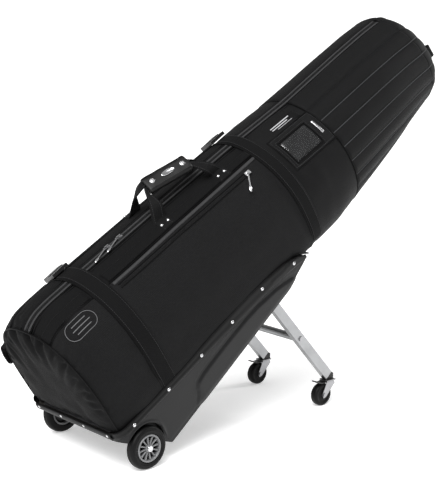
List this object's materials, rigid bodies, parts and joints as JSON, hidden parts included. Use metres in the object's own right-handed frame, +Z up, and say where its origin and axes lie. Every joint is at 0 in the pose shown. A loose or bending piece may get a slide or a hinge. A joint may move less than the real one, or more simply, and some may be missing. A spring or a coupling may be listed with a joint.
{
  "type": "wheeled golf travel case",
  "caption": "Soft padded golf travel case on a moulded skid, standing on two main wheels and a fold-out leg frame with swivel casters, with zippers, straps and a carry handle.",
  "frame": {"origin": "middle of the bounding box, on the floor that the four wheels stand on", "axes": "+Z up; +X from the wide base end, over the main wheels, towards the round barrel end; -Y is the side with the card pocket"},
  "size_m": [1.2751, 0.3564, 0.9606],
  "materials": {
    "body_panel": "fine ballistic weave, charcoal black",
    "body_fabric": "plain woven polyester, black",
    "zipper_tape": "woven tape with nylon coil",
    "bright_metal": "bright die-cast metal",
    "webbing": "ribbed nylon webbing",
    "black_plastic": "black moulded plastic",
    "grip_rubber": "soft-touch padded grip",
    "skid_plastic": "grained dark grey moulded plastic",
    "deck_fibreboard": "stiff pressed board",
    "foam": "covered closed-cell foam",
    "steel": "zinc-plated steel",
    "tyre_rubber": "black rubber",
    "wheel_plastic": "grey moulded spokes",
    "aluminium": "satin anodised extrusion"
  },
  "bodies": {
    "case": {"lower_shell_near": "body_panel", "lower_shell_far": "body_panel", "barrel_shell_near": "body_fabric", "barrel_shell_far": "body_fabric", "barrel_dome_end": "body_fabric", "base_end_panel": "body_fabric", "main_zipper": "zipper_tape", "pocket_zipper_near": "zipper_tape", "pocket_zipper_far": "zipper_tape", "lower_strap_near": "webbing", "lower_strap_far": "webbing", "upper_strap_near": "webbing", "upper_strap_far": "webbing", "carry_loop_near": "webbing", "carry_loop_far": "webbing", "card_frame": "webbing", "base_loop": "webbing", "barrel_loop": "webbing", "lower_buckle_socket": "black_plastic", "lower_buckle_tongue": "black_plastic", "upper_buckle_socket": "black_plastic", "upper_buckle_tongue": "black_plastic", "carry_grip": "grip_rubber", "skid_base": "skid_plastic", "deck_board": "deck_fibreboard", "floor_pad": "foam", "club_head_pad": "foam", "axle_bolt_near": "bright_metal", "axle_bolt_far": "bright_metal", "leg_pivot_shaft": "steel", "pivot_bracket_near": "black_plastic", "pivot_bracket_far": "black_plastic"},
    "wheel_near": {"tyre_near": "tyre_rubber", "wheel_rim_near": "wheel_plastic"},
    "wheel_far": {"tyre_far": "tyre_rubber", "wheel_rim_far": "wheel_plastic"},
    "legs": {"leg_near": "aluminium", "leg_far": "aluminium", "cross_tube": "aluminium", "cross_bolt": "steel", "leg_plug_near": "black_plastic", "leg_plug_far": "black_plastic", "caster_plate_near": "steel", "caster_plate_far": "steel"},
    "caster_near": {"caster_fork_near": "steel", "caster_axle_near": "steel"},
    "caster_wheel_near": {"caster_wheel_near": "tyre_rubber"},
    "brake_near": {"brake_lever_near": "black_plastic"},
    "caster_far": {"caster_fork_far": "steel", "caster_axle_far": "steel"},
    "caster_wheel_far": {"caster_wheel_far": "tyre_rubber"},
    "brake_far": {"brake_lever_far": "black_plastic"},
    "main_upper_slider": {"main_upper_slider": "bright_metal"},
    "main_upper_pull": {"main_upper_pull": "bright_metal"},
    "main_lower_slider": {"main_lower_slider": "bright_metal"},
    "main_lower_pull": {"main_lower_pull": "bright_metal"},
    "pocket_near_slider": {"pocket_near_slider": "bright_metal"},
    "pocket_near_pull": {"pocket_near_pull": "bright_metal"},
    "pocket_far_slider": {"pocket_far_slider": "bright_metal"},
    "pocket_far_pull": {"pocket_far_pull": "bright_metal"}
  },
  "joints": [
    {"name": "wheel_spin_near", "type": "hinge", "parent": "case", "child": "wheel_near", "pos_m": [-0.4259, -0.162, 0.04996], "axis": [0, 1, 0], "continuous": true},
    {"name": "wheel_spin_far", "type": "hinge", "parent": "case", "child": "wheel_far", "pos_m": [-0.4259, 0.162, 0.04996], "axis": [0, 1, 0], "continuous": true},
    {"name": "leg_fold", "type": "hinge", "parent": "case", "child": "legs", "pos_m": [-0.01899, 0, 0.31972], "axis": [0, 1, 0], "range_deg": [0, 92]},
    {"name": "caster_swivel_near", "type": "hinge", "parent": "legs", "child": "caster_near", "pos_m": [0.1966, -0.1184, 0.0598], "axis": [0, 0, 1], "continuous": true},
    {"name": "caster_spin_near", "type": "hinge", "parent": "caster_near", "child": "caster_wheel_near", "pos_m": [0.1766, -0.1184, 0.0289], "axis": [0, 1, 0], "continuous": true},
    {"name": "brake_press_near", "type": "hinge", "parent": "caster_near", "child": "brake_near", "pos_m": [0.1825, -0.1184, 0.0604], "axis": [0, 1, 0], "range_deg": [-6, 0]},
    {"name": "caster_swivel_far", "type": "hinge", "parent": "legs", "child": "caster_far", "pos_m": [0.1966, 0.1184, 0.0598], "axis": [0, 0, 1], "continuous": true},
    {"name": "caster_spin_far", "type": "hinge", "parent": "caster_far", "child": "caster_wheel_far", "pos_m": [0.1766, 0.1184, 0.0289], "axis": [0, 1, 0], "continuous": true},
    {"name": "brake_press_far", "type": "hinge", "parent": "caster_far", "child": "brake_far", "pos_m": [0.1825, 0.1184, 0.0604], "axis": [0, 1, 0], "range_deg": [-6, 0]},
    {"name": "main_upper_slide", "type": "slide", "parent": "case", "child": "main_upper_slider", "axis": [0.8758, -0.0001, 0.4826], "range_m": [-0.014, 0.35]},
    {"name": "main_upper_pull_swing", "type": "hinge", "parent": "main_upper_slider", "child": "main_upper_pull", "pos_m": [-0.38027, -0.01145, 0.4967], "axis": [-0.3191, 0.9413, -0.1099], "range_deg": [0, 115]},
    {"name": "main_lower_slide", "type": "slide", "parent": "case", "child": "main_lower_slider", "axis": [0.8758, -0.0001, 0.4826], "range_m": [-0.066, 0.014]},
    {"name": "main_lower_pull_swing", "type": "hinge", "parent": "main_lower_slider", "child": "main_lower_pull", "pos_m": [-0.41446, -0.01145, 0.47786], "axis": [-0.3186, 0.9414, -0.1106], "range_deg": [0, 115]},
    {"name": "pocket_near_slide", "type": "slide", "parent": "case", "child": "pocket_near_slider", "axis": [0.8706, 0.0182, 0.4916], "range_m": [-0.42, 0.006]},
    {"name": "pocket_near_pull_swing", "type": "hinge", "parent": "pocket_near_slider", "child": "pocket_near_pull", "pos_m": [-0.07102, -0.1073, 0.62318], "axis": [-0.3647, -0.6467, 0.6698], "range_deg": [-70, 70]},
    {"name": "pocket_far_slide", "type": "slide", "parent": "case", "child": "pocket_far_slider", "axis": [0.8706, -0.0182, 0.4916], "range_m": [-0.42, 0.006]},
    {"name": "pocket_far_pull_swing", "type": "hinge", "parent": "pocket_far_slider", "child": "pocket_far_pull", "pos_m": [-0.07102, 0.1073, 0.62318], "axis": [-0.3647, 0.6467, 0.6698], "range_deg": [-70, 70]}
  ]
}
